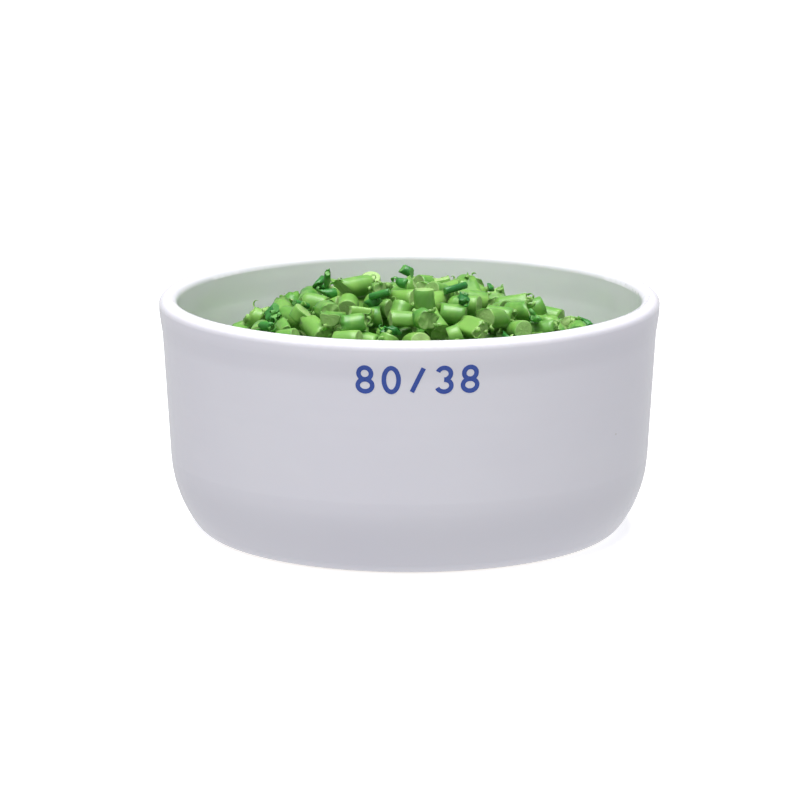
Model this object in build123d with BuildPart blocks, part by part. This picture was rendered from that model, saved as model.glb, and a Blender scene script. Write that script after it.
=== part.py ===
from build123d import *
from dataclasses import dataclass
import math
import os
import random
import numpy as np

# A round, flat-bottomed crystallizing dish in glazed porcelain, heaped with cut plastic granules.
# The dish is one fired piece: a tapering wall, a soft knee, a foot ring and a rounded lip.
# The granules lie loose in it. Those of the top layers are separate solids, dropped one by one
# onto the heap, and the settled ones below them are one solid, the granule bed.
# Millimetres, +Z up, the origin at the centre of the foot's underside.

# ------------------------------------------------------------ dish: driving dimensions
rim_diameter = 80.0
dish_height = 38.0
wall_thickness = 2.4
floor_thickness = 3.0
wall_taper = 3.4  # degrees that the wall leans out from the vertical
lip_thickness = 2.9  # a little more than the wall's, on both sides
lip_flare = 0.2  # how far the lip stands out of the wall's line
lip_band = 2.2  # the lip's upright part, under its rounded top
lip_height = 6.0
lip_root_round = 14.0
lip_roundness = 0.92  # the radius of the lip's rounding, against half its thickness
knee_lean = 36.0  # degrees from the vertical of the knee, between wall and foot
knee_round = 20.0
base_round = 4.0
inner_base_round = 7.0
foot_ring_width = 4.0
foot_recess = 0.5
foot_edge_round = 0.3

# ------------------------------------------------------------ granules: driving dimensions
granule_diameter = 3.2
granule_length = 4.2
length_spread = 0.9  # a granule is up to this much longer or shorter
square_cut_lean = 6.0  # degrees by which even a square cut misses the square
slant_cut_lean = (20.0, 42.0)
split_flat = (0.3, 0.8)  # from the axis to a split granule's flat
slice_length = (1.3, 2.2)
crumb_diameter = 1.5
crumb_length = (0.9, 2.2)
crumb_flat = 0.25  # from the axis to a crumb's flat
crumb_count = 44
sliver_diameter = 1.0
sliver_length = (3.0, 4.6)
sliver_count = 5
lying_spread = 38.0  # degrees that a granule's axis strays from the level
heap_crown = 2.3  # the heap's middle stands this far above the lip
heap_edge_drop = 12.5  # and its edge lies this far below it
heap_cover = 8.0  # depth of the loose top layers over the bed
heap_roughness = 1.2  # how far a granule may stand out of the heap's surface
bed_clearance = 0.3  # between the bed and the dish
granule_clearance = 0.14  # kept free round every granule
map_step = 0.25  # cell size of the heap's height map
tries_each = 40  # resting places tried for each granule
heap_seed = 7

# ------------------------------------------------------------ sizes that follow from them
rim_radius = rim_diameter / 2
taper_slope = math.tan(math.radians(wall_taper))
rim_round = lip_roundness * lip_thickness / 2
lip_root_z = dish_height - lip_height
inner_knee_round = knee_round - wall_thickness


def outer_radius(z):
    """Radius of the wall's outer face at height z, below the lip."""
    return rim_radius - lip_flare - (dish_height - z) * taper_slope


def inner_radius(z):
    """Radius of the wall's inner face at height z, below the lip."""
    return outer_radius(z) - wall_thickness


def knee_corners(floor_z, wall_radius, corner_round, bend_round):
    """The knee's two corners before rounding: at the floor, and at the wall."""
    lean = math.radians(knee_lean)
    corner_run = corner_round * math.tan((math.pi / 2 - lean) / 2)
    bend_run = bend_round * math.tan((lean - math.radians(wall_taper)) / 2)
    length = 1.02 * (corner_run + bend_run)  # leaves a trace of straight between them
    top_z = floor_z + length * math.cos(lean)
    top_radius = wall_radius(top_z)
    return (top_radius - length * math.sin(lean), floor_z), (top_radius, top_z)


def cavity_line(clearance, top_z):
    """The inner face from the axis up to top_z, drawn this far inside the porcelain."""
    corner_round = inner_base_round - clearance
    bend_round = inner_knee_round - clearance
    foot, knee = knee_corners(
        floor_thickness + clearance,
        lambda z: inner_radius(z) - clearance,
        corner_round,
        bend_round,
    )
    end = (inner_radius(top_z) - clearance, top_z)
    return [(0, floor_thickness + clearance), foot, knee, end], [corner_round, bend_round]


# ------------------------------------------------------------ dish
outer_foot, outer_knee = knee_corners(0, outer_radius, base_round, knee_round)
foot_radius = outer_foot[0] - base_round * math.tan(math.radians(90 - knee_lean) / 2)
cavity_points, cavity_rounds = cavity_line(0, lip_root_z)
inner_lip = (rim_radius - lip_thickness, dish_height)

with BuildPart() as dish:
    with BuildSketch(Plane.XZ) as body_outline:
        with BuildLine():
            FilletPolyline(
                (0, 0),
                outer_foot,
                outer_knee,
                (outer_radius(lip_root_z), lip_root_z),
                (rim_radius, dish_height - lip_band),
                (rim_radius, dish_height),
                radius=[base_round, knee_round, lip_root_round, lip_root_round],
            )
            Polyline((rim_radius, dish_height), (0, dish_height), (0, 0))
        make_face()
    revolve(axis=Axis.Z)
    with BuildSketch(Plane.XZ) as cavity_outline:
        with BuildLine():
            FilletPolyline(*cavity_points, inner_lip, radius=[*cavity_rounds, lip_root_round])
            Polyline(inner_lip, (0, dish_height), (0, floor_thickness))
        make_face()
    revolve(axis=Axis.Z, mode=Mode.SUBTRACT)
    fillet(dish.edges().group_by(Axis.Z)[-1], radius=rim_round)
    # The underside is hollowed inside the foot ring, so that the dish doesn't rock.
    with BuildSketch(Plane.XY) as foot_hollow:
        Circle(foot_radius - foot_ring_width)
    extrude(amount=foot_recess, mode=Mode.SUBTRACT)
    hollow_edge = dish.edges().group_by(Axis.Z)[0].sort_by(SortBy.LENGTH)[0]
    fillet(hollow_edge, radius=foot_edge_round)
dish.part.label = "dish"

# ------------------------------------------------------------ granule bed
# The heap's surface is a spherical cap that meets the wall heap_edge_drop below the lip.
heap_edge_radius = inner_radius(dish_height - heap_edge_drop)
heap_rise = heap_crown + heap_edge_drop
heap_sphere = (heap_edge_radius**2 + heap_rise**2) / (2 * heap_rise)
heap_centre_z = dish_height + heap_crown - heap_sphere


def heap_top(radius):
    """Height of the finished heap's surface at this distance from the axis."""
    return heap_centre_z + np.sqrt(heap_sphere**2 - radius**2)


bed_points, bed_rounds = cavity_line(bed_clearance, dish_height + heap_crown)
with BuildPart() as granule_bed:
    with BuildSketch(Plane.XZ) as bed_outline:
        with BuildLine():
            FilletPolyline(*bed_points, radius=bed_rounds)
            Polyline(bed_points[-1], (0, dish_height + heap_crown), bed_points[0])
        make_face()
        with Locations((0, heap_centre_z - heap_cover)):
            Circle(heap_sphere, mode=Mode.INTERSECT)
    revolve(axis=Axis.Z)
granule_bed.part.label = "granule_bed"


# ------------------------------------------------------------ one granule
@dataclass
class Granule:
    """A cylinder along its own Z, bounded by flat cuts, each a normal and a distance."""

    radius: float
    length: float
    cuts: list

    def solid(self):
        with BuildPart() as granule:
            Cylinder(self.radius, 3 * self.length)
            for normal, distance in self.cuts:
                origin = [distance * part for part in normal]
                split(bisect_by=Plane(origin=origin, z_dir=normal), keep=Keep.BOTTOM)
        return granule.part


def end_cut(length, upper, lean, chance):
    """The cut that ends a granule: it leans by some degrees, towards any side."""
    side = chance.uniform(0, 2 * math.pi)
    tilt = math.radians(lean)
    level = math.cos(tilt) if upper else -math.cos(tilt)
    normal = (math.sin(tilt) * math.cos(side), math.sin(tilt) * math.sin(side), level)
    return normal, length / 2 * math.cos(tilt)


def whole_granule(chance):
    length = granule_length + chance.uniform(-length_spread, length_spread)
    ends = [end_cut(length, up, chance.uniform(0, square_cut_lean), chance) for up in (True, False)]
    return Granule(granule_diameter / 2, length, ends)


def slant_granule(chance):
    granule = whole_granule(chance)
    granule.cuts[0] = end_cut(granule.length, True, chance.uniform(*slant_cut_lean), chance)
    return granule


def split_granule(chance):
    granule = whole_granule(chance)
    granule.cuts.append(((1, 0, 0), chance.uniform(*split_flat)))
    return granule


def slice_granule(chance):
    length = chance.uniform(*slice_length)
    ends = [end_cut(length, up, chance.uniform(0, square_cut_lean), chance) for up in (True, False)]
    return Granule(granule_diameter / 2, length, ends)


def crumb(chance):
    length = chance.uniform(*crumb_length)
    ends = [end_cut(length, up, chance.uniform(*slant_cut_lean), chance) for up in (True, False)]
    return Granule(crumb_diameter / 2, length, [*ends, ((1, 0, 0), crumb_flat)])


def sliver(chance):
    length = chance.uniform(*sliver_length)
    ends = [end_cut(length, up, chance.uniform(0, square_cut_lean), chance) for up in (True, False)]
    return Granule(sliver_diameter / 2, length, ends)


# ------------------------------------------------------------ dropping granules on the heap
cells = int(2 * rim_radius / map_step) + 1
cell_line = (np.arange(cells) - (cells - 1) / 2) * map_step
cell_radius = np.hypot(cell_line[:, None], cell_line)
height_map = heap_top(np.minimum(cell_radius, heap_edge_radius)) - heap_cover


def upright_spans(granule, turn, x, y):
    """Where upright lines at x, y enter and leave a granule centred on the axis: two arrays."""
    grown = granule.radius + granule_clearance
    start = np.stack([x, y, np.zeros_like(x)], axis=-1) @ turn
    run = turn[2]
    steep = run[0] ** 2 + run[1] ** 2
    middle = (start[..., 0] * run[0] + start[..., 1] * run[1]) / max(steep, 1e-9)
    reach = start[..., 0] ** 2 + start[..., 1] ** 2 - grown**2
    inside = middle**2 - reach / max(steep, 1e-9)
    half = np.sqrt(np.maximum(inside, 0))
    low = np.where(inside > 0, -middle - half, np.inf)
    high = np.where(inside > 0, -middle + half, -np.inf)
    for normal, distance in granule.cuts:
        slope = float(np.dot(normal, run))
        room = distance + granule_clearance - start @ np.array(normal)
        if slope > 0:
            high = np.minimum(high, room / slope)
        else:
            low = np.maximum(low, room / min(slope, -1e-9))
    hit = low < high
    return np.where(hit, low, np.inf), np.where(hit, high, -np.inf)


def random_turn(chance):
    """A turn whose last column, the granule's axis, lies near the level."""
    heading = chance.uniform(0, 2 * math.pi)
    rise = math.radians(chance.gauss(0, lying_spread))
    roll = chance.uniform(0, 2 * math.pi)
    axis = np.array(
        [math.cos(rise) * math.cos(heading), math.cos(rise) * math.sin(heading), math.sin(rise)]
    )
    side = np.array([-math.sin(heading), math.cos(heading), 0.0])
    over = np.cross(axis, side)
    across = math.cos(roll) * side + math.sin(roll) * over
    return np.stack([across, np.cross(axis, across), axis], axis=1)


def resting_place(granule, chance, reach):
    """One random place and turn, with the height at which it comes to rest there."""
    turn = random_turn(chance)
    radius = reach * math.sqrt(chance.random())
    heading = chance.uniform(0, 2 * math.pi)
    centre = np.array([radius * math.cos(heading), radius * math.sin(heading)])
    extent = math.hypot(granule.length, 2 * granule.radius) / 2 + 2 * map_step
    first = np.searchsorted(cell_line, centre - extent)
    last = np.searchsorted(cell_line, centre + extent)
    window = (slice(first[0], last[0]), slice(first[1], last[1]))
    x = cell_line[window[0], None] + np.zeros(last[1] - first[1])
    y = cell_line[None, window[1]] + np.zeros((last[0] - first[0], 1))
    low, high = upright_spans(granule, turn, x - centre[0], y - centre[1])
    rest = np.max(height_map[window] - low)
    hit = high > low
    out = cell_radius[window][hit] + granule_clearance
    if np.any(out > inner_radius(low[hit] + rest) - bed_clearance):
        return None
    return {"turn": turn, "centre": (*centre, rest), "window": window, "high": high + rest}


def drop(granule, chance, tries, proud):
    """Lays a granule in the deepest of some resting places, if it stays within the heap."""
    best, best_depth = None, -proud
    reach = heap_edge_radius - granule.radius
    for _ in range(tries):
        place = resting_place(granule, chance, reach)
        if place is None:
            continue
        radius = math.hypot(*place["centre"][:2])
        depth = heap_top(radius) - np.max(place["high"])
        if depth > best_depth:
            best, best_depth = place, depth
    if best is not None:
        height_map[best["window"]] = np.maximum(height_map[best["window"]], best["high"])
    return best


def placed(granule, place):
    turn = place["turn"]
    plane = Plane(origin=place["centre"], x_dir=tuple(turn[:, 0]), z_dir=tuple(turn[:, 2]))
    return granule.solid().moved(plane.location)


# ------------------------------------------------------------ the loose top layers
# Each kind of granule is one node, a group of separate solids, with its share of the heap.
kinds = {
    "whole_granules": (whole_granule, 0.5),
    "slant_cut_granules": (slant_granule, 0.26),
    "split_granules": (split_granule, 0.14),
    "thin_slices": (slice_granule, 0.1),
}
# Bits of the cutting lie on top of them.
bits = {"crumbs": (crumb, crumb_count), "slivers": (sliver, sliver_count)}
give_up_after = 20  # granules in a row that find no room
tries_each_bit = 4

chance = random.Random(heap_seed)
groups = {name: [] for name in [*kinds, *bits]}
missed = 0
while missed < give_up_after:
    name = chance.choices(list(kinds), [share for _, share in kinds.values()])[0]
    granule = kinds[name][0](chance)
    place = drop(granule, chance, tries_each, heap_roughness)
    if place is None:
        missed += 1
    else:
        missed = 0
        groups[name].append(placed(granule, place))
for name, (make_bit, count) in bits.items():
    for _ in range(count):
        bit = make_bit(chance)
        place = drop(bit, chance, tries_each_bit, heap_roughness + crumb_diameter)
        if place is not None:
            groups[name].append(placed(bit, place))

# ------------------------------------------------------------ one STEP file for each node
os.makedirs("parts", exist_ok=True)
export_step(dish.part, "parts/dish.step")
export_step(granule_bed.part, "parts/granule_bed.step")
for name, solids in groups.items():
    group = Compound(label=name, children=solids)
    export_step(group, f"parts/{name}.step")
    print(name, len(solids))
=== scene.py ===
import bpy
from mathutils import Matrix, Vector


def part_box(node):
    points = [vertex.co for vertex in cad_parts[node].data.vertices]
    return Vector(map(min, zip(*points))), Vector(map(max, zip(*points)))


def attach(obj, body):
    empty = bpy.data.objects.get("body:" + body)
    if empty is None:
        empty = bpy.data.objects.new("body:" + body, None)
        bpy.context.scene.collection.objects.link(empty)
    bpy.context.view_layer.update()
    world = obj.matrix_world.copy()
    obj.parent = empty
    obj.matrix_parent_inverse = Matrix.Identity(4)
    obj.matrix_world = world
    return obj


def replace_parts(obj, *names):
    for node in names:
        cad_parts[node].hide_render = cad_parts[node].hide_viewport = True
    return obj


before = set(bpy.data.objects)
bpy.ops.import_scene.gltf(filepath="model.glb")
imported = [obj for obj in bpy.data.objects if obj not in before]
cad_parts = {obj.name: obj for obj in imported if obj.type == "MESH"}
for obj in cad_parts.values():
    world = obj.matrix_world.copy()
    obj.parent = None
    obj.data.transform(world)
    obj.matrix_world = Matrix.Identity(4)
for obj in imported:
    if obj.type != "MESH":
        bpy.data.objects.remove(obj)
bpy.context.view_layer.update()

import math
import random

import bpy
import numpy as np
from mathutils import Vector

# ---------------------------------------------------------------- the dish
# Hard-paste porcelain, slip cast and turned, dipped in clear glaze and fired to 1400 degrees:
# cold white body colour under a glossy, slightly wavy glass skin with a few iron specks.
# The foot ring is wiped bare before the firing and stays matt biscuit.
MM = 0.001
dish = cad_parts["dish"]
_, rim_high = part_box("dish")
rim_height = rim_high.z
rim_radius = rim_high.x


def to_linear(hex_colour):
    """An sRGB hex value as the linear RGBA that shaders take."""
    channels = [int(hex_colour[place : place + 2], 16) / 255 for place in (1, 3, 5)]
    return [c / 12.92 if c <= 0.04045 else ((c + 0.055) / 1.055) ** 2.4 for c in channels] + [1.0]


def add_node(tree, kind, inputs=None, **settings):
    """A shader node with its settings; an input takes a plain value or another node's socket."""
    node = tree.nodes.new(kind)
    for name, value in settings.items():
        setattr(node, name, value)
    for name, value in (inputs or {}).items():
        if isinstance(value, bpy.types.NodeSocket):
            tree.links.new(value, node.inputs[name])
        else:
            node.inputs[name].default_value = value
    return node


def new_finish(name):
    """An empty material with its output node, and its node tree."""
    finish = bpy.data.materials.new(name)
    finish.use_nodes = True
    finish.node_tree.nodes.clear()
    return finish, finish.node_tree, finish.node_tree.nodes.new("ShaderNodeOutputMaterial")


def blend_colour(tree, share, low, high):
    """A colour between two others, which are hex values or sockets."""
    ends = [to_linear(end) if isinstance(end, str) else end for end in (low, high)]
    mix = add_node(tree, "ShaderNodeMix", {0: share, 6: ends[0], 7: ends[1]}, data_type="RGBA")
    return mix.outputs[2]


def fade(tree, value, start, end):
    """0 up to start and 1 past end, with a soft step between; start may be the higher one."""
    ramp = add_node(
        tree,
        "ShaderNodeMapRange",
        {"Value": value, "From Min": start, "From Max": end},
        interpolation_type="SMOOTHSTEP",
    )
    return ramp.outputs["Result"]


def glazed_porcelain():
    finish, tree, output = new_finish("glazed_porcelain")
    glaze_patch = 30 * MM  # where the glaze lies thicker or thinner
    turning_ring = 3.2 * MM  # the tool's rings, only just felt under the glaze
    ring_depth = 0.02 * MM
    glaze_wave = 7 * MM
    wave_depth = 0.06 * MM
    speck_spacing = 7 * MM
    speck_radius = 0.14 * MM
    bare_height = 0.28 * MM  # the wiped part of the foot ring
    place = add_node(tree, "ShaderNodeTexCoord").outputs["Object"]
    height = add_node(tree, "ShaderNodeSeparateXYZ", {0: place}).outputs["Z"]
    patches = add_node(tree, "ShaderNodeTexNoise", {"Vector": place, "Scale": 1 / glaze_patch})
    body = blend_colour(tree, patches.outputs["Fac"], "#E9E7F1", "#F0EFF5")
    specks = add_node(tree, "ShaderNodeTexVoronoi", {"Vector": place, "Scale": 1 / speck_spacing})
    reach = speck_radius / speck_spacing
    speck = fade(tree, specks.outputs["Distance"], 1.5 * reach, 0.5 * reach)
    speckled = blend_colour(tree, speck, body, "#CFC9C2")
    bare = fade(tree, height, 1.3 * bare_height, 0.7 * bare_height)
    colour = blend_colour(tree, bare, speckled, "#D8CFC3")
    rings = add_node(
        tree,
        "ShaderNodeTexNoise",
        {"W": height, "Scale": 1 / turning_ring, "Detail": 1.0},
        noise_dimensions="1D",
    )
    waves = add_node(tree, "ShaderNodeTexNoise", {"Vector": place, "Scale": 1 / glaze_wave})
    ring_bump = add_node(
        tree, "ShaderNodeBump", {"Height": rings.outputs["Fac"], "Distance": ring_depth}
    )
    wave_bump = add_node(
        tree,
        "ShaderNodeBump",
        {"Height": waves.outputs["Fac"], "Distance": wave_depth, "Normal": ring_bump.outputs[0]},
    )
    roughness = add_node(
        tree, "ShaderNodeMapRange", {"Value": bare, "To Min": 0.16, "To Max": 0.8}
    )
    shader = add_node(
        tree,
        "ShaderNodeBsdfPrincipled",
        {
            "Base Color": colour,
            "Roughness": roughness.outputs["Result"],
            "IOR": 1.52,
            "Subsurface Weight": 0.08,
            "Subsurface Radius": (1.2 * MM, 1.0 * MM, 0.9 * MM),
            "Subsurface Scale": 1.0,
            "Normal": wave_bump.outputs[0],
        },
    )
    tree.links.new(shader.outputs[0], output.inputs["Surface"])
    return finish


dish.material_slots[0].material = glazed_porcelain()

# ---------------------------------------------------------------- the size number
# The rim's diameter and the height in whole millimetres, printed in cobalt blue on the front
# and covered by the glaze, so it is as glossy as the wall and only a trace proud of it.
figure_height = 4.5 * MM
figure_width = 3.0 * MM
figure_gap = 1.1 * MM
stroke = 0.72 * MM
print_depth = 0.03 * MM
number_drop = 5.9 * MM  # from the lip's top to the middle of the figures
number_shift = 1.3 * MM  # to the right of the front's middle
half_w = (figure_width - stroke) / 2
half_h = (figure_height - stroke) / 2


def arc_points(centre, size, start, end, steps):
    """Points along part of an ellipse, with angles in degrees."""
    turns = [math.radians(start + (end - start) * step / steps) for step in range(steps + 1)]
    return [(centre[0] + size[0] * math.cos(t), centre[1] + size[1] * math.sin(t)) for t in turns]


def figure_strokes(sign):
    """The pen lines of one printed sign about its own middle."""
    small = half_h / 2
    if sign == "0":
        return [arc_points((0, 0), (half_w, half_h), 90, 450, 48)]
    if sign == "8":
        upper = arc_points((0, small), (0.86 * half_w, small), -90, 270, 32)
        return [upper, arc_points((0, -small), (half_w, small), 90, 450, 32)]
    if sign == "3":
        upper = arc_points((0, small), (0.9 * half_w, small), 160, -90, 26)
        return [upper, arc_points((0, -small), (half_w, small), 90, -160, 26)]
    return [[(-0.8 * half_w, -half_h), (0.8 * half_w, half_h)]]


def pen_line(points, width):
    """Left and right edges of a line of this width."""
    line = np.array(points)
    closed = np.allclose(line[0], line[-1])
    ahead = np.gradient(line, axis=0)
    if closed:
        ahead[0] = ahead[-1] = line[1] - line[-2]
    ahead /= np.linalg.norm(ahead, axis=1)[:, None]
    across = np.stack([-ahead[:, 1], ahead[:, 0]], axis=1) * width / 2
    return line + across, line - across, closed


def on_the_wall(x, z, proud):
    """The point of the front wall at this arc length and height, moved out by proud."""
    turn = x / rim_radius
    outward = Vector((math.sin(turn), -math.cos(turn), 0))
    far = outward * 2 * rim_radius + Vector((0, 0, z))
    _, place, facing, _ = dish.ray_cast(far, -outward)
    return place + facing * proud


def printed_number(text):
    vertices, faces = [], []
    pitch = figure_width + figure_gap
    middle = rim_height - number_drop
    for order, sign in enumerate(text):
        shift = number_shift + (order - (len(text) - 1) / 2) * pitch
        for points in figure_strokes(sign):
            if len(points) == 2:  # a straight line needs steps too, to follow the round wall
                points = [tuple(np.array(points[0]) * (1 - s) + np.array(points[1]) * s)
                          for s in np.linspace(0, 1, 9)]
            left, right, closed = pen_line(points, stroke)
            count = len(left) - closed
            first = len(vertices)
            for edge_l, edge_r in zip(left[:count], right[:count]):
                for x, z, proud in (
                    (*edge_l, -print_depth),
                    (*edge_l, print_depth),
                    (*edge_r, print_depth),
                    (*edge_r, -print_depth),
                ):
                    vertices.append(on_the_wall(x + shift, z + middle, proud))
            for step in range(count if closed else count - 1):
                here, there = first + 4 * step, first + 4 * ((step + 1) % count)
                for side in range(4):
                    after = (side + 1) % 4
                    faces.append((here + side, here + after, there + after, there + side))
            if not closed:
                faces.append((first + 3, first + 2, first + 1, first))
                last = first + 4 * (count - 1)
                faces.append((last, last + 1, last + 2, last + 3))
    return vertices, faces


def cobalt_print():
    finish, tree, output = new_finish("cobalt_print_under_glaze")
    ink_patch = 0.9 * MM
    place = add_node(tree, "ShaderNodeTexCoord").outputs["Object"]
    ink = add_node(tree, "ShaderNodeTexNoise", {"Vector": place, "Scale": 1 / ink_patch})
    colour = blend_colour(tree, ink.outputs["Fac"], "#27459E", "#3A5BB4")
    shader = add_node(
        tree,
        "ShaderNodeBsdfPrincipled",
        {"Base Color": colour, "Roughness": 0.18, "IOR": 1.52},
    )
    tree.links.new(shader.outputs[0], output.inputs["Surface"])
    return finish


def new_piece(name, vertices, faces, finish):
    mesh = bpy.data.meshes.new(name)
    mesh.from_pydata([tuple(v) for v in vertices], [], faces)
    mesh.update()
    piece = bpy.data.objects.new(name, mesh)
    bpy.context.scene.collection.objects.link(piece)
    mesh.materials.append(finish)
    return piece


size_text = f"{round(2 * rim_radius / MM)}/{round(rim_height / MM)}"
size_number = new_piece("size_number", *printed_number(size_text), cobalt_print())
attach(size_number, "dish")

# ---------------------------------------------------------------- the granules' making
# Green polypropylene drawn as a hot strand about 3 mm thick and chopped by a rotary cutter.
# The skin is smooth and waxy. A cut face is paler and matt, with the blade's marks on it, and
# a blunt blade squeezes the end, draws out a burr, or tears up curled shreds.


class Strand:
    """A granule's plain form: a round strand, its two end cuts, and flats along it."""

    def __init__(self, place, turn, radius, low, high, flats):
        self.place = place
        self.turn = turn  # columns: two directions across the strand, then its axis
        self.radius = radius
        self.low = low  # normal and distance of the end cut, in the strand's own axes
        self.high = high
        self.flats = flats  # facing angle and distance from the axis


def cut_height(cut, x, y):
    """How far along the strand an end cut lies, at a place across it."""
    normal, distance = cut
    return (distance - normal[0] * x - normal[1] * y) / normal[2]


corner_step = 1e-3 * MM  # corners nearer than this are one corner


def loose_solids(node):
    """The separate solids of a CAD node, each as its corners and its triangles."""
    mesh = node.data
    mesh.calc_loop_triangles()
    points = np.array([v.co for v in mesh.vertices])
    keys, merged = np.unique(np.round(points / corner_step), axis=0, return_inverse=True)
    triangles = merged.reshape(-1)[np.array([t.vertices[:] for t in mesh.loop_triangles])]
    owner = np.arange(len(keys))

    def root(key):
        while owner[key] != key:
            owner[key] = owner[owner[key]]
            key = owner[key]
        return key

    for a, b, c in triangles:
        ra, rb, rc = root(a), root(b), root(c)
        owner[rb] = owner[rc] = min(ra, rb, rc)
        owner[ra] = min(ra, rb, rc)
    roots = np.array([root(key) for key in triangles[:, 0]])
    corners = keys * corner_step
    return [corners[triangles[roots == solid]] for solid in np.unique(roots)]


least_triangle = 1e-6 * MM**2  # smaller ones have no sure normal
one_plane = 0.9995  # cosine between the normals of triangles in one cut
least_fan = 10  # triangles in a cut across the strand


def read_strand(triangles):
    """The round strand and the cuts that a solid was made from."""
    edges = np.cross(triangles[:, 1] - triangles[:, 0], triangles[:, 2] - triangles[:, 0])
    areas = np.linalg.norm(edges, axis=1) / 2
    kept = areas > least_triangle
    triangles, edges, areas = triangles[kept], edges[kept], areas[kept]
    normals = edges / (2 * areas[:, None])
    planes = []
    for index in np.argsort(-areas):
        for plane in planes:
            if np.dot(plane["normal"], normals[index]) > one_plane:
                plane["members"].append(index)
                break
        else:
            planes.append({"normal": normals[index], "members": [index]})
    for plane in planes:
        plane["area"] = areas[plane["members"]].sum()
    # A cut across is a fan of many triangles, and a flat is nearly as large; the rest is skin.
    least = 0.6 * min(plane["area"] for plane in planes if len(plane["members"]) >= least_fan)
    cuts = [plane for plane in planes if plane["area"] > least]
    skin = [i for plane in planes if plane["area"] <= least for i in plane["members"]]
    spread = (normals[skin] * areas[skin, None]).T @ normals[skin]
    axis = np.linalg.eigh(spread)[1][:, 0]
    across = np.cross(axis, [0.0, 0.0, 1.0] if abs(axis[2]) < 0.9 else [1.0, 0.0, 0.0])
    across /= np.linalg.norm(across)
    turn = np.stack([across, np.cross(axis, across), axis], axis=1)
    corners = triangles[skin].reshape(-1, 3)
    local = corners @ turn
    known = np.column_stack([2 * local[:, :2], np.ones(len(local))])
    found = np.linalg.lstsq(known, (local[:, :2] ** 2).sum(axis=1), rcond=None)[0]
    radius = math.sqrt(found[2] + found[0] ** 2 + found[1] ** 2)
    along = (local[:, 2].min() + local[:, 2].max()) / 2
    place = turn @ np.array([found[0], found[1], along])
    # End cuts face along the strand, and flats face across it.
    low = high = None
    flats = []
    for cut in sorted(cuts, key=lambda plane: -plane["area"]):
        normal = cut["normal"] @ turn
        distance = float(np.dot(triangles[cut["members"][0]][0] - place, cut["normal"]))
        if normal[2] > 0.5 and high is None:
            high = (normal, distance)
        elif normal[2] < -0.5 and low is None:
            low = (normal, distance)
        elif abs(normal[2]) < 0.1:
            flats.append((math.atan2(normal[1], normal[0]), distance))
    return Strand(place, turn, radius, low, high, flats)


def ripple(points, size, chance):
    """Smooth uneven heights from -1 to 1 over points in space, with bumps of about this size."""
    waves = 5
    total = np.zeros(points.shape[:-1])
    for _ in range(waves):
        way = np.array([chance.gauss(0, 1) for _ in range(3)])
        way *= chance.uniform(0.7, 1.5) * math.pi / (size * np.linalg.norm(way))
        total += np.sin(points @ way + chance.uniform(0, 2 * math.pi))
    return total / waves


porcelain_gap = 0.08 * MM  # granules come no nearer to the dish than this
lip_depth = 2 * MM  # the rounded lip, above the top of the cavity's wall
cavity_rows = 300
_, floor_spot, _, _ = dish.ray_cast(Vector((0, 0, rim_height)), Vector((0, 0, -1)))
cavity_heights = np.linspace(floor_spot.z + porcelain_gap, rim_height - lip_depth, cavity_rows)
cavity_radii = [
    dish.ray_cast(Vector((0, 0, height)), Vector((1, 0, 0)))[1].x for height in cavity_heights
]


def clear_of_the_dish(corners):
    """Corners that would stand in the porcelain, moved up off its floor and in off its wall."""
    moved = np.array(corners)
    moved[:, 2] = np.maximum(moved[:, 2], cavity_heights[0])
    most = np.interp(moved[:, 2], cavity_heights, cavity_radii) - porcelain_gap
    reach = np.maximum(np.hypot(moved[:, 0], moved[:, 1]), MM)
    moved[:, :2] *= np.minimum(1, most / reach)[:, None]
    return moved


class Heap:
    """The growing mesh of a group of granules: corners, faces, and what each corner is."""

    def __init__(self):
        self.corners = []
        self.faces = []
        self.cut = []  # 1 on a cut face, 0 on the drawn skin
        self.tone = []  # one value from 0 to 1 for each granule

    def add(self, corners, faces, cut, tone):
        first = len(self.corners)
        self.corners.extend(corners)
        self.faces.extend([tuple(first + corner for corner in face) for face in faces])
        self.cut.extend(cut)
        self.tone.extend([tone] * len(corners))

    def piece(self, name, finish):
        made = new_piece(name, clear_of_the_dish(self.corners), self.faces, finish)
        for layer, values in (("cut", self.cut), ("tone", self.tone)):
            made.data.attributes.new(layer, "FLOAT", "POINT").data.foreach_set("value", values)
        made.data.polygons.foreach_set("use_smooth", [True] * len(self.faces))
        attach(made, "charge")
        return made


cap_shares = (0.3, 0.62, 0.88)  # rings on a cut face, as shares of the way to its edge
edge_rounding = 0.07 * MM
granule_growth = 0.07 * MM  # granules touch their neighbours, where the frame leaves a hair between
squeeze_most = 0.2
squeeze_length = 1.4 * MM
burr_most = 0.5 * MM
burr_width = (0.35, 0.9)  # along the edge, in radians
crush_most = 0.42 * MM  # a torn end is crushed out of round by up to this much
crush_length = 1.6 * MM
crush_lump = 0.8 * MM
blade_mark = 0.42 * MM  # from one scratch to the next, coarser than real so that they show
blade_mark_depth = 0.03 * MM
relief_height = (0.06 * MM, 0.40 * MM)  # on a clean cut, and on a fully torn one
relief_lump = (1.1 * MM, 0.65 * MM)
skin_lump = 1.5 * MM
skin_relief = 0.05 * MM
shred_length = (0.9 * MM, 2.2 * MM)
shred_width = (0.35 * MM, 0.95 * MM)
shred_thickness = 0.1 * MM
shred_roll = (100, 300)  # degrees that a shred curls through
shred_steps = 10
shred_seat = 0.9  # where on a cut face a shred starts, as a share of the way to its edge
shred_paleness = 0.6  # between the drawn skin's colour, 0, and a cut face's, 1


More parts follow.
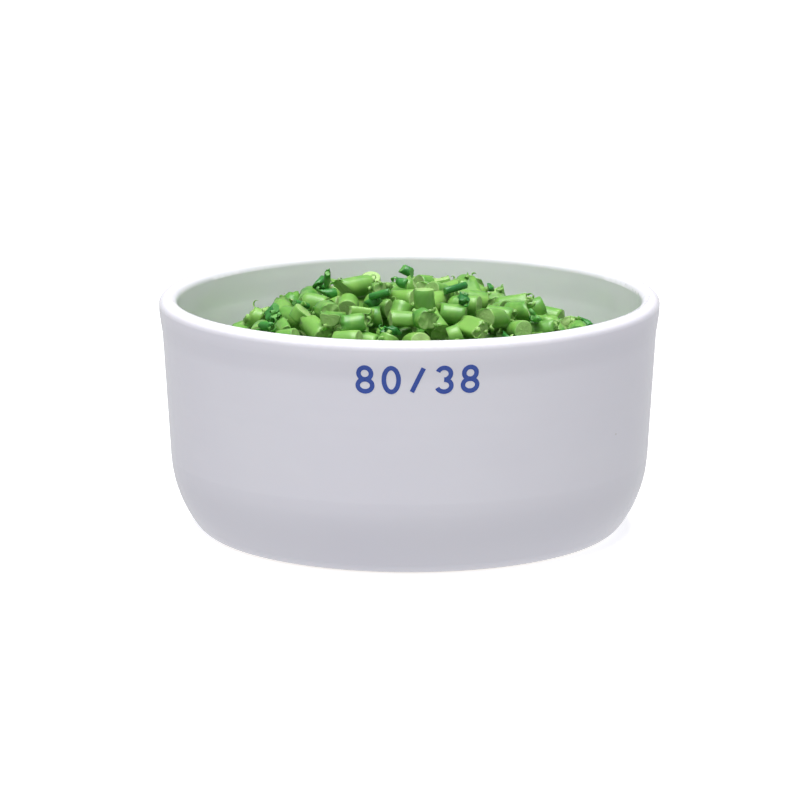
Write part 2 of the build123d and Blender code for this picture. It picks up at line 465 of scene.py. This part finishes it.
def granule_form(strand, chance, segments, side_rings, torn):
    """Rings of corners over one granule, from its low end to its high end, in its own axes."""
    angle = np.arange(segments) / segments * 2 * math.pi + chance.uniform(0, 1)
    radius = strand.radius + granule_growth
    reach = np.full(segments, radius)
    for facing, distance in strand.flats:
        lean = np.cos(angle - facing)
        reach = np.where(lean > 0.05, np.minimum(reach, distance / np.maximum(lean, 0.05)), reach)
    circle = np.stack([np.cos(angle), np.sin(angle)], axis=1)
    rim_share = 1 - edge_rounding / radius
    plan = [(share, 0.0, 1.0) for share in (*cap_shares, rim_share)]
    plan += [(1.0, s, 0.0) for s in np.linspace(0, 1, side_rings)]
    plan += [(share, 1.0, 1.0) for share in (rim_share, *cap_shares[::-1])]
    rings, cut = [], []
    middle = (cut_height(strand.high, 0, 0) + cut_height(strand.low, 0, 0)) / 2
    for share, way, is_cut in plan:
        x, y = (circle * (reach * share)[:, None]).T
        low = cut_height(strand.low, x, y)
        high = cut_height(strand.high, x, y)
        if not is_cut:
            low, high = low + edge_rounding, high - edge_rounding
        rings.append(np.stack([x, y, low + (high - low) * way], axis=1))
        cut.append(is_cut)
    form = np.stack(rings)
    poles = [cut_height(strand.low, 0, 0), cut_height(strand.high, 0, 0)]

    # The blade squeezes one end flatter, and the other a little.
    heading = chance.uniform(0, math.pi)
    for sign, most in ((1, squeeze_most), (-1, squeeze_most / 3)):
        amount = chance.uniform(0, most)
        tip = (form[..., 2] - middle) * sign
        near = np.clip((tip - tip.max() + squeeze_length) / squeeze_length, 0, 1) ** 2
        c, s = math.cos(heading), math.sin(heading)
        along = form[..., 0] * c + form[..., 1] * s
        form[..., 0] -= along * c * near * amount
        form[..., 1] -= along * s * near * amount

    # Strand skin: faintly lumpy. Cut faces: blade marks and torn relief.
    skin = ripple(form, skin_lump, chance) * skin_relief
    form[..., :2] *= (1 + skin / radius)[..., None]
    marks = chance.uniform(0, 2 * math.pi)
    stripes = (form[..., 0] * math.cos(marks) + form[..., 1] * math.sin(marks)) / blade_mark
    wander = 2 * ripple(form, skin_lump, chance)
    relief = blade_mark_depth * np.sin(2 * math.pi * stripes + wander)
    lump = np.interp(torn, (0, 1), relief_lump)
    relief += np.interp(torn, (0, 1), relief_height) * ripple(form, lump, chance)
    half = len(plan) // 2
    caps = np.array([(-1.0 if row < half else 1.0) * is_cut for row, is_cut in enumerate(cut)])
    form[..., 2] += relief * caps[:, None]

    # A torn end is crushed and ragged for some way along the strand.
    if torn:
        sign = chance.choice((-1, 1))
        tip = (form[..., 2] - middle) * sign
        near = np.clip((tip - tip.max() + crush_length) / crush_length, 0, 1)
        crush = near * torn * crush_most * ripple(form, crush_lump, chance)
        form[..., :2] *= (1 + crush / radius)[..., None]

    # Burrs drawn out over parts of an edge, ragged and leaning outward; a torn edge has more.
    for end_row, sign in ((len(cap_shares) + 1, -1), (len(plan) - len(cap_shares) - 2, 1)):
        for _ in range(1 + round(3 * torn)):
            burr = chance.uniform(0, 1) ** 3 * burr_most * (1 + torn)
            side = chance.uniform(0, 2 * math.pi)
            width = chance.uniform(*burr_width)
            off = np.angle(np.exp(1j * (angle - side)))
            lip = burr * np.exp(-((off / width) ** 2))
            lip *= 1 + 0.5 * np.sin(angle * 7 + side)
            form[end_row, :, 2] += sign * lip
            form[end_row, :, :2] += circle * (0.3 * lip)[:, None]
    return form, np.array(cut), poles


def ring_faces(rows, segments, first):
    faces = []
    for row in range(rows - 1):
        for step in range(segments):
            after = (step + 1) % segments
            here, there = first + row * segments, first + (row + 1) * segments
            faces.append((here + step, here + after, there + after, there + step))
    return faces


def shred(root, way, side, chance):
    """A thin curled ribbon torn up by the blade: it leaves its root along way and rolls back."""
    length = chance.uniform(*shred_length)
    width = chance.uniform(*shred_width)
    roll = math.radians(chance.uniform(*shred_roll))
    twist = chance.uniform(-0.7, 0.7)
    up = np.cross(side, way)
    corners, place = [], np.array(root)
    for step in range(shred_steps + 1):
        share = step / shred_steps
        turn = roll * share**1.3
        ahead = way * math.cos(turn) + up * math.sin(turn)
        out = up * math.cos(turn) - way * math.sin(turn)
        across = side * math.cos(twist * share) + out * math.sin(twist * share)
        half = across * width / 2 * (1 - 0.4 * share**3)
        lift = out * shred_thickness / 2 * (1 - 0.5 * share)
        corners += [place - half - lift, place + half - lift, place + half + lift, place - half + lift]
        place = place + ahead * length / shred_steps
    faces = []
    for step in range(shred_steps):
        for edge in range(4):
            after = (edge + 1) % 4
            here = 4 * step
            faces.append((here + edge, here + after, here + 4 + after, here + 4 + edge))
    faces.append((3, 2, 1, 0))
    faces.append(tuple(4 * shred_steps + corner for corner in range(4)))
    return corners, faces


def add_granule(heap, strand, chance, segments=26, side_rings=7, torn=0.0, shreds=0):
    form, cut, poles = granule_form(strand, chance, segments, side_rings, torn)
    rows = len(form)
    tone = chance.random()
    corners = np.concatenate([form.reshape(-1, 3), [[0, 0, poles[0]], [0, 0, poles[1]]]])
    faces = ring_faces(rows, segments, 0)
    low_pole, high_pole = rows * segments, rows * segments + 1
    last = (rows - 1) * segments
    for step in range(segments):
        after = (step + 1) % segments
        faces.append((low_pole, after, step))
        faces.append((high_pole, last + step, last + after))
    is_cut = np.concatenate([np.repeat(cut, segments), [1.0, 1.0]])
    heap.add(corners @ strand.turn.T + strand.place, faces, is_cut, tone)
    for _ in range(shreds):
        end = chance.choice((-1, 1))
        rim = form[-len(cap_shares) - 1 if end > 0 else len(cap_shares)]
        spot = rim[chance.randrange(segments)] * [shred_seat, shred_seat, 1.0]
        radial = np.array([spot[0], spot[1], 0.0])
        radial /= np.linalg.norm(radial)
        way = np.array([0, 0, end]) + radial * chance.uniform(-0.6, 0.9)
        way /= np.linalg.norm(way)
        side = np.cross(way, radial)
        side /= np.linalg.norm(side)
        if chance.random() < 0.7:
            side = -side
        ribbon, ribbon_faces = shred(spot, way, side, chance)
        ribbon = np.array(ribbon) @ strand.turn.T + strand.place
        heap.add(ribbon, ribbon_faces, [shred_paleness] * len(ribbon), tone)


def chopped_polypropylene(name, skin_colours, face_colours):
    finish, tree, output = new_finish(name)
    blotch_size = 2.5 * MM
    grain_size = 0.25 * MM
    grain_depth = 0.05 * MM
    tone = add_node(tree, "ShaderNodeAttribute", attribute_name="tone").outputs["Fac"]
    cut = add_node(tree, "ShaderNodeAttribute", attribute_name="cut").outputs["Fac"]
    place = add_node(tree, "ShaderNodeTexCoord").outputs["Object"]
    blotch = add_node(tree, "ShaderNodeTexNoise", {"Vector": place, "Scale": 1 / blotch_size})
    skin = blend_colour(tree, tone, *skin_colours)
    patched = fade(tree, blotch.outputs["Fac"], 0.35, 0.75)
    skin = blend_colour(tree, patched, skin, skin_colours[1])
    face = blend_colour(tree, tone, *face_colours)
    colour = blend_colour(tree, cut, skin, face)
    grain = add_node(
        tree, "ShaderNodeTexNoise", {"Vector": place, "Scale": 1 / grain_size, "Detail": 3.0}
    )
    depth = add_node(tree, "ShaderNodeMapRange", {"Value": cut, "To Min": 0.15, "To Max": 1.0})
    rough_height = add_node(
        tree,
        "ShaderNodeMath",
        {0: grain.outputs["Fac"], 1: depth.outputs["Result"]},
        operation="MULTIPLY",
    )
    bump = add_node(
        tree, "ShaderNodeBump", {"Height": rough_height.outputs[0], "Distance": grain_depth}
    )
    roughness = add_node(tree, "ShaderNodeMapRange", {"Value": cut, "To Min": 0.34, "To Max": 0.6})
    shader = add_node(
        tree,
        "ShaderNodeBsdfPrincipled",
        {
            "Base Color": colour,
            "Roughness": roughness.outputs["Result"],
            "IOR": 1.49,
            "Subsurface Weight": 0.2,
            "Subsurface Radius": (0.3 * MM, 0.7 * MM, 0.2 * MM),
            "Subsurface Scale": 1.0,
            "Normal": bump.outputs[0],
        },
    )
    tree.links.new(shader.outputs[0], output.inputs["Surface"])
    return finish


plastic = chopped_polypropylene(
    "chopped_green_polypropylene", ("#488C36", "#7FB152"), ("#82AE5E", "#A4C67C")
)
# Crumbs and slivers get a darker green all over.
darker_plastic = chopped_polypropylene(
    "darker_green_polypropylene", ("#1F6A2C", "#3F8C3A"), ("#4A9040", "#6FA856")
)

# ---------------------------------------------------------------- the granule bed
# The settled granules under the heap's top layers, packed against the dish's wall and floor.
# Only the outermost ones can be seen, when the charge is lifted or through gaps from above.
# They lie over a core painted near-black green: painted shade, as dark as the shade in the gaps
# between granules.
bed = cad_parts["granule_bed"]
bed_spacing = 3.1 * MM
bed_length = 4.2 * MM
bed_length_spread = 0.8 * MM
bed_radius = 1.6 * MM
bed_tilt = 16  # degrees out of the surface, as a spread about none
bed_slant_most = 25  # degrees that one cut may lean
core_depth = 1.9 * MM
tries_for_each = 12  # places tried for each granule that fits on the bed


def points_on(node, spacing, chance):
    """Random points of a node's surface, no two nearer than spacing, with their normals."""
    mesh = node.data
    mesh.calc_loop_triangles()
    corners = np.array([v.co for v in mesh.vertices])
    triangles = corners[np.array([t.vertices[:] for t in mesh.loop_triangles])]
    crossed = np.cross(triangles[:, 1] - triangles[:, 0], triangles[:, 2] - triangles[:, 0])
    areas = np.linalg.norm(crossed, axis=1) / 2
    total = np.cumsum(areas)
    taken = {}
    found = []
    for _ in range(int(tries_for_each * total[-1] / spacing**2)):
        index = int(np.searchsorted(total, chance.random() * total[-1]))
        u, v = sorted((chance.random(), chance.random()))
        point = triangles[index][0] * u + triangles[index][1] * (v - u) + triangles[index][2] * (1 - v)
        cell = tuple(int(c // spacing) for c in point)
        near = [
            other
            for dx in (-1, 0, 1)
            for dy in (-1, 0, 1)
            for dz in (-1, 0, 1)
            for other in taken.get((cell[0] + dx, cell[1] + dy, cell[2] + dz), ())
        ]
        if all(np.linalg.norm(point - other) > spacing for other in near):
            taken.setdefault(cell, []).append(point)
            found.append((point, crossed[index] / (2 * areas[index])))
    return found


def bedded_strand(point, normal, chance):
    """A granule that lies just under a surface, along it or a little out of true."""
    across = np.cross(normal, [chance.gauss(0, 1) for _ in range(3)])
    across /= np.linalg.norm(across)
    tilt = math.radians(chance.gauss(0, bed_tilt))
    axis = across * math.cos(tilt) + normal * math.sin(tilt)
    first = np.cross(axis, normal)
    first /= np.linalg.norm(first)
    turn = np.stack([first, np.cross(axis, first), axis], axis=1)
    length = bed_length + chance.uniform(-bed_length_spread, bed_length_spread)
    reach = bed_radius * math.cos(tilt) + length / 2 * abs(math.sin(tilt))
    lean = math.radians(chance.uniform(0, bed_slant_most))
    side = chance.uniform(0, 2 * math.pi)
    slanted = np.array(
        [math.sin(lean) * math.cos(side), math.sin(lean) * math.sin(side), math.cos(lean)]
    )
    low = (np.array([0.0, 0.0, -1.0]), length / 2)
    return Strand(
        point - normal * (reach + granule_growth), turn, bed_radius, low,
        (slanted, length / 2 * math.cos(lean)), [],
    )


def packed_bed():
    chance = random.Random(11)
    heap = Heap()
    for point, normal in points_on(bed, bed_spacing, chance):
        strand = bedded_strand(point, normal, chance)
        add_granule(heap, strand, chance, segments=14, side_rings=3)
    return heap


def bed_core():
    """The bed's own form drawn in by core_depth, so that no granule is buried by it."""
    low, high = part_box("granule_bed")
    middle = (low + high) / 2
    half = (high - low) / 2
    mesh = bed.data.copy()
    shrink = [1 - core_depth / size for size in half]
    for vertex in mesh.vertices:
        for way in range(3):
            vertex.co[way] = middle[way] + (vertex.co[way] - middle[way]) * shrink[way]
    core = bpy.data.objects.new("bed_core", mesh)
    bpy.context.scene.collection.objects.link(core)
    return core


def shaded_gap():
    finish, tree, output = new_finish("painted_shade_between_granules")
    gap_patch = 3 * MM
    place = add_node(tree, "ShaderNodeTexCoord").outputs["Object"]
    depth = add_node(tree, "ShaderNodeTexNoise", {"Vector": place, "Scale": 1 / gap_patch})
    # Painted shade: the core's near-black greens stand in for the shade deep in the gaps between
    # granules.
    colour = blend_colour(tree, depth.outputs["Fac"], "#0E3614", "#1A5422")
    shader = add_node(
        tree, "ShaderNodeBsdfPrincipled", {"Base Color": colour, "Roughness": 0.8, "IOR": 1.49}
    )
    tree.links.new(shader.outputs[0], output.inputs["Surface"])
    return finish


core = bed_core()
core.data.materials.clear()
core.data.materials.append(shaded_gap())
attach(core, "charge")
bed_granules = packed_bed().piece("bedded_granules", plastic)
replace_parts(bed_granules, "granule_bed")

# ---------------------------------------------------------------- the loose granules
# The top layers, one by one where they rest: plain chopped ones, ones cut on the slant, split
# ones, thin slices from a short feed, and the crumbs and slivers that the cutter leaves.
# A torn granule has more burrs and a spray of shreds; each kind has its own share of them.
torn_share = {
    "whole_granules": 0.5,
    "slant_cut_granules": 0.6,
    "split_granules": 0.7,
    "thin_slices": 0.6,
    "crumbs": 0.6,
    "slivers": 0.0,
}
tornness = (0.4, 1.0)
torn_shreds = (5, 15)  # on a fully torn granule
chance = random.Random(23)
for kind, share in torn_share.items():
    heap = Heap()
    small = kind in ("crumbs", "slivers")
    for triangles in loose_solids(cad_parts[kind]):
        strand = read_strand(triangles)
        torn = chance.uniform(*tornness) if chance.random() < share else 0.0
        shreds = int(torn * chance.uniform(*torn_shreds)) if torn else chance.choice((0, 0, 1))
        add_granule(
            heap,
            strand,
            chance,
            segments=16 if small else 28,
            side_rings=4 if small else 7,
            torn=torn,
            shreds=shreds // 2 if small else shreds,
        )
    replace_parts(heap.piece(f"chopped_{kind}", darker_plastic if small else plastic), kind)

# ---------------------------------------------------------------- studio
# A white table in a white room, lit by a big soft panel high in front, a small one close above
# the heap and a weak one on the left.
scene = bpy.context.scene
scene.view_settings.view_transform = "Standard"


def soft_light(name, place, size, power):
    light = bpy.data.lights.new(name, "AREA")
    light.size = size
    light.energy = power
    lamp = bpy.data.objects.new(name, light)
    scene.collection.objects.link(lamp)
    lamp.location = place
    lamp.rotation_mode = "QUATERNION"
    lamp.rotation_quaternion = (Vector((0, 0, rim_height / 2)) - Vector(place)).to_track_quat(
        "-Z", "Y"
    )


soft_light("front_panel", (-0.3, -1.2, 2.6), 1.6, 34.0)
soft_light("overhead_panel", (0, -0.03, 0.45), 0.32, 2.35)
soft_light("left_panel", (-1.2, -0.3, 0.9), 0.8, 0.9)

room = bpy.data.worlds.new("white_room")
room.use_nodes = True
sky_way = add_node(room.node_tree, "ShaderNodeTexCoord").outputs["Generated"]
sky_height = add_node(room.node_tree, "ShaderNodeSeparateXYZ", {0: sky_way}).outputs["Z"]
below = fade(room.node_tree, sky_height, 0.08, -0.08)
strength = add_node(
    room.node_tree, "ShaderNodeMapRange", {"Value": below, "To Min": 0.32, "To Max": 0.75}
)
background = room.node_tree.nodes["Background"]
background.inputs["Color"].default_value = to_linear("#F8F9FC")
room.node_tree.links.new(strength.outputs["Result"], background.inputs["Strength"])
room.cycles.sampling_method = "NONE"  # sampled as a lamp, it drew a hard-edged dark patch
scene.world = room

half_floor = 3.0
floor_corners = [
    (-half_floor, -half_floor, 0),
    (half_floor, -half_floor, 0),
    (half_floor, half_floor, 0),
    (-half_floor, half_floor, 0),
]
floor_finish, floor_tree, floor_output = new_finish("white_table")
floor_shader = add_node(
    floor_tree,
    "ShaderNodeBsdfPrincipled",
    {
        "Base Color": to_linear("#F4F4F6"),
        "Roughness": 0.9,
        "Emission Color": to_linear("#FFFFFF"),
        "Emission Strength": 0.55,
    },
)
floor_finish.cycles.emission_sampling = "NONE"  # it whitens the table and lights nothing else
floor_tree.links.new(floor_shader.outputs[0], floor_output.inputs["Surface"])
floor = new_piece("table_top", floor_corners, [(0, 1, 2, 3)], floor_finish)
# The room's lower half stands in for the light that the table throws up and for its reflection.
floor.visible_diffuse = False
floor.visible_glossy = False

# The camera stands ten rim diameters off, looks down a little onto the heap, and is aimed
# below the rim's middle and a trace to its left.
camera_distance = 0.8
camera_rise = math.radians(10.77)
aim_drop = 17.0 * MM
aim_left = 1.49 * MM
camera_aim = Vector((-aim_left, 0, rim_height)) - aim_drop * Vector(
    (0, math.sin(camera_rise), math.cos(camera_rise))
)
camera_data = bpy.data.cameras.new("camera")
camera_data.lens = 225.3
camera_data.clip_start = 0.05
camera = bpy.data.objects.new("camera", camera_data)
scene.collection.objects.link(camera)
camera.location = Vector((0, 0, rim_height)) + camera_distance * Vector(
    (0, -math.cos(camera_rise), math.sin(camera_rise))
)
camera.rotation_mode = "QUATERNION"
camera.rotation_quaternion = (camera_aim - camera.location).to_track_quat("-Z", "Y")
scene.camera = camera
